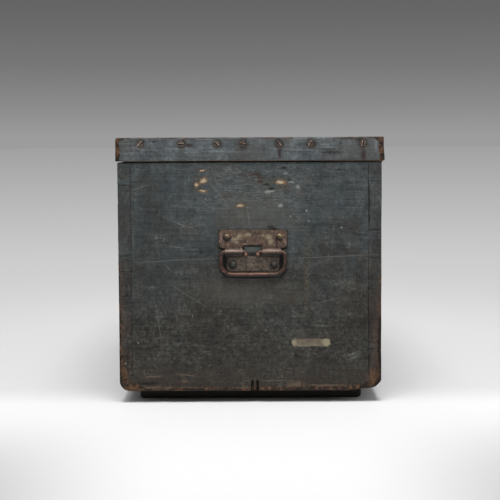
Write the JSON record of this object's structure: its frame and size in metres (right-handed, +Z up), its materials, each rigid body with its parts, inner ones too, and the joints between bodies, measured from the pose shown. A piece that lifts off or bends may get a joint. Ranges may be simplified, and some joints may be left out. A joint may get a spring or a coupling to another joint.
{
  "type": "tool chest",
  "caption": "Painted pine tool chest: dovetailed case on skids, hinged lid in a screwed rim, pressed iron drop handles on the ends, box lock and sliding inner tills.",
  "frame": {"origin": "on the ground, at the middle of the space that the whole chest takes up", "axes": "+X along the chest's length, -Y out of its front, where the lock is, +Z up"},
  "size_m": [0.8678, 0.4628, 0.4526],
  "materials": {
    "painted_pine": "old blue-grey oil paint over pine, worn to the wood at edges and corners, grimy lower down",
    "bottom_pine": "rough pine, blackened with dirt",
    "bare_pine": "bare pine, darkened with age and handling",
    "rusty_iron": "pressed and bent iron with an even brown rust, rubbed smooth where it is held",
    "worn_steel": "dull steel, brown with rust in the slots and edges",
    "old_brass": "tarnished brass, rubbed at the edge"
  },
  "bodies": {
    "case": {"front_upper_board": "painted_pine", "front_lower_board": "painted_pine", "back_upper_board": "painted_pine", "back_lower_board": "painted_pine", "right_end_upper_board": "painted_pine", "right_end_lower_board": "painted_pine", "left_end_upper_board": "painted_pine", "left_end_lower_board": "painted_pine", "floor_board_1": "bottom_pine", "floor_board_2": "bottom_pine", "floor_board_3": "bottom_pine", "floor_board_4": "bottom_pine", "floor_board_5": "bottom_pine", "floor_board_6": "bottom_pine", "right_skid": "bottom_pine", "left_skid": "bottom_pine", "right_hinge_case_leaf": "rusty_iron", "right_hinge_pin": "worn_steel", "left_hinge_case_leaf": "rusty_iron", "left_hinge_pin": "worn_steel", "right_handle_plate": "rusty_iron", "right_handle_stud_1": "rusty_iron", "right_handle_stud_2": "rusty_iron", "right_handle_stud_3": "rusty_iron", "right_handle_stud_4": "rusty_iron", "left_handle_plate": "rusty_iron", "lock_case": "worn_steel", "keyhole_escutcheon": "old_brass", "right_till_runner": "bare_pine", "left_till_runner": "bare_pine"},
    "lid": {"lid_front_board": "painted_pine", "lid_back_board": "painted_pine", "lid_rim_right": "painted_pine", "lid_rim_left": "painted_pine", "lid_rim_front": "painted_pine", "lid_rim_back": "painted_pine", "right_rim_screw_1": "worn_steel", "right_rim_screw_2": "worn_steel", "right_rim_screw_3": "worn_steel", "right_rim_screw_4": "worn_steel", "right_rim_screw_5": "worn_steel", "right_rim_screw_6": "worn_steel", "right_rim_screw_7": "worn_steel", "right_hinge_lid_leaf": "rusty_iron", "left_hinge_lid_leaf": "rusty_iron", "lock_link": "worn_steel"},
    "right_bail": {"right_handle_bail": "rusty_iron"},
    "left_bail": {"left_handle_bail": "rusty_iron"},
    "upper_till": {"upper_till_floor": "bare_pine", "upper_till_front": "bare_pine", "upper_till_back": "bare_pine", "upper_till_left_end": "bare_pine", "upper_till_right_end": "bare_pine"},
    "lower_till": {"lower_till_floor": "bare_pine", "lower_till_front": "bare_pine", "lower_till_back": "bare_pine", "lower_till_left_end": "bare_pine", "lower_till_right_end": "bare_pine"},
    "bolt": {"lock_bolt": "worn_steel"}
  },
  "joints": [
    {"name": "lid_hinge", "type": "hinge", "parent": "case", "child": "lid", "pos_m": [0, 0.2272, 0.41135], "axis": [-1, 0, 0], "range_deg": [0, 105]},
    {"name": "right_bail_swing", "type": "hinge", "parent": "case", "child": "right_bail", "pos_m": [0.4252, 0.0006, 0.2581], "axis": [0, -1, 0], "range_deg": [0, 90]},
    {"name": "left_bail_swing", "type": "hinge", "parent": "case", "child": "left_bail", "pos_m": [-0.4252, 0.0006, 0.2581], "axis": [0, 1, 0], "range_deg": [0, 90]},
    {"name": "upper_till_slide", "type": "slide", "parent": "case", "child": "upper_till", "axis": [0, -1, 0], "range_m": [0, 0.21]},
    {"name": "lower_till_slide", "type": "slide", "parent": "case", "child": "lower_till", "axis": [0, -1, 0], "range_m": [0, 0.21]},
    {"name": "bolt_throw", "type": "slide", "parent": "case", "child": "bolt", "axis": [1, 0, 0], "range_m": [0, 0.01]}
  ]
}
